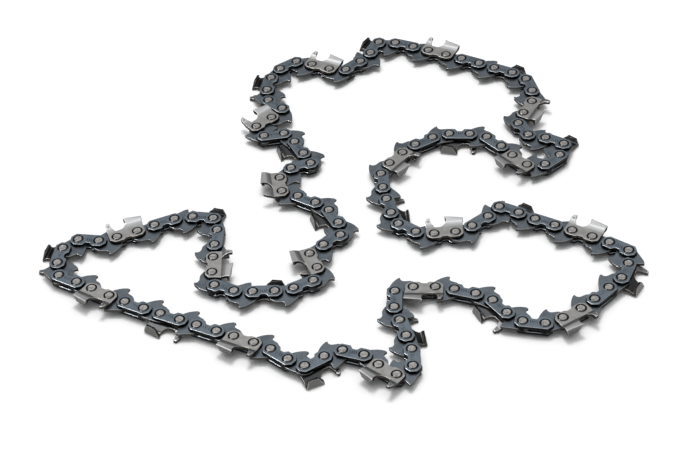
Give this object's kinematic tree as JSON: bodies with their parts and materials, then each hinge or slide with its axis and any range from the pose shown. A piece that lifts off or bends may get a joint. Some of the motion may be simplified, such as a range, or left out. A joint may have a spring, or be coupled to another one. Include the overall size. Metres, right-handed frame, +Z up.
{
  "type": "chainsaw chain loop",
  "caption": "Closed loop of saw chain lying on its side: riveted drive links with tangs, tie straps, and left- and right-hand cutters with depth gauges, to run round a guide bar.",
  "frame": {"origin": "middle of the loop in plan, on the bench that it lies on", "axes": "+Z up, square to the side plates and along the rivets; +X along the loop's longer side; +Y away from a viewer at the front"},
  "size_m": [0.2858, 0.26, 0.008],
  "materials": {
    "blued_link": "blue-grey heat-treated steel, satin, worn lighter along the edges",
    "plated_cutter": "hard chrome plate, satin, with fine grinding lines",
    "rivet_steel": "bare steel with spun heads"
  },
  "bodies": {
    "front_run": {"front_run_drive_links": "blued_link", "front_run_guard_links": "blued_link", "front_run_lower_straps": "blued_link", "front_run_rivets": "rivet_steel", "front_run_upper_straps": "blued_link", "left_cutter_01": "plated_cutter", "left_cutter_02": "plated_cutter", "left_cutter_03": "plated_cutter", "left_cutter_04": "plated_cutter", "left_cutter_05": "plated_cutter", "left_cutter_06": "plated_cutter", "left_cutter_07": "plated_cutter", "left_cutter_08": "plated_cutter", "right_cutter_01": "plated_cutter", "right_cutter_02": "plated_cutter", "right_cutter_03": "plated_cutter", "right_cutter_04": "plated_cutter", "right_cutter_05": "plated_cutter", "right_cutter_06": "plated_cutter", "right_cutter_07": "plated_cutter", "right_cutter_17": "plated_cutter"},
    "right_run": {"left_cutter_09": "plated_cutter", "right_cutter_08": "plated_cutter", "right_cutter_09": "plated_cutter", "right_run_drive_links": "blued_link", "right_run_guard_links": "blued_link", "right_run_lower_straps": "blued_link", "right_run_rivets": "rivet_steel", "right_run_upper_straps": "blued_link"},
    "back_run": {"back_run_drive_links": "blued_link", "back_run_guard_links": "blued_link", "back_run_lower_straps": "blued_link", "back_run_rivets": "rivet_steel", "back_run_upper_straps": "blued_link", "left_cutter_10": "plated_cutter", "left_cutter_11": "plated_cutter", "left_cutter_12": "plated_cutter", "left_cutter_13": "plated_cutter", "left_cutter_14": "plated_cutter", "right_cutter_10": "plated_cutter", "right_cutter_11": "plated_cutter", "right_cutter_12": "plated_cutter", "right_cutter_13": "plated_cutter", "right_cutter_14": "plated_cutter"},
    "left_run": {"left_cutter_15": "plated_cutter", "left_cutter_16": "plated_cutter", "left_cutter_17": "plated_cutter", "left_run_drive_links": "blued_link", "left_run_guard_links": "blued_link", "left_run_lower_straps": "blued_link", "left_run_rivets": "rivet_steel", "left_run_upper_straps": "blued_link", "right_cutter_15": "plated_cutter", "right_cutter_16": "plated_cutter"}
  },
  "joints": [
    {"name": "right_run_pivot", "type": "hinge", "parent": "front_run", "child": "right_run", "pos_m": [0.04571, -0.0318, 0.004], "axis": [0, 0, 1], "range_deg": [-10, 10]},
    {"name": "back_run_pivot", "type": "hinge", "parent": "right_run", "child": "back_run", "pos_m": [0.08422, 0.02909, 0.004], "axis": [0, 0, 1], "range_deg": [-10, 10]},
    {"name": "left_run_pivot", "type": "hinge", "parent": "back_run", "child": "left_run", "pos_m": [-0.021, 0.02317, 0.004], "axis": [0, 0, 1], "range_deg": [-10, 10]}
  ],
  "couplings": [
    {"joint": "back_run_pivot", "follows": "right_run_pivot", "ratio": -1},
    {"joint": "left_run_pivot", "follows": "right_run_pivot", "ratio": 1}
  ]
}
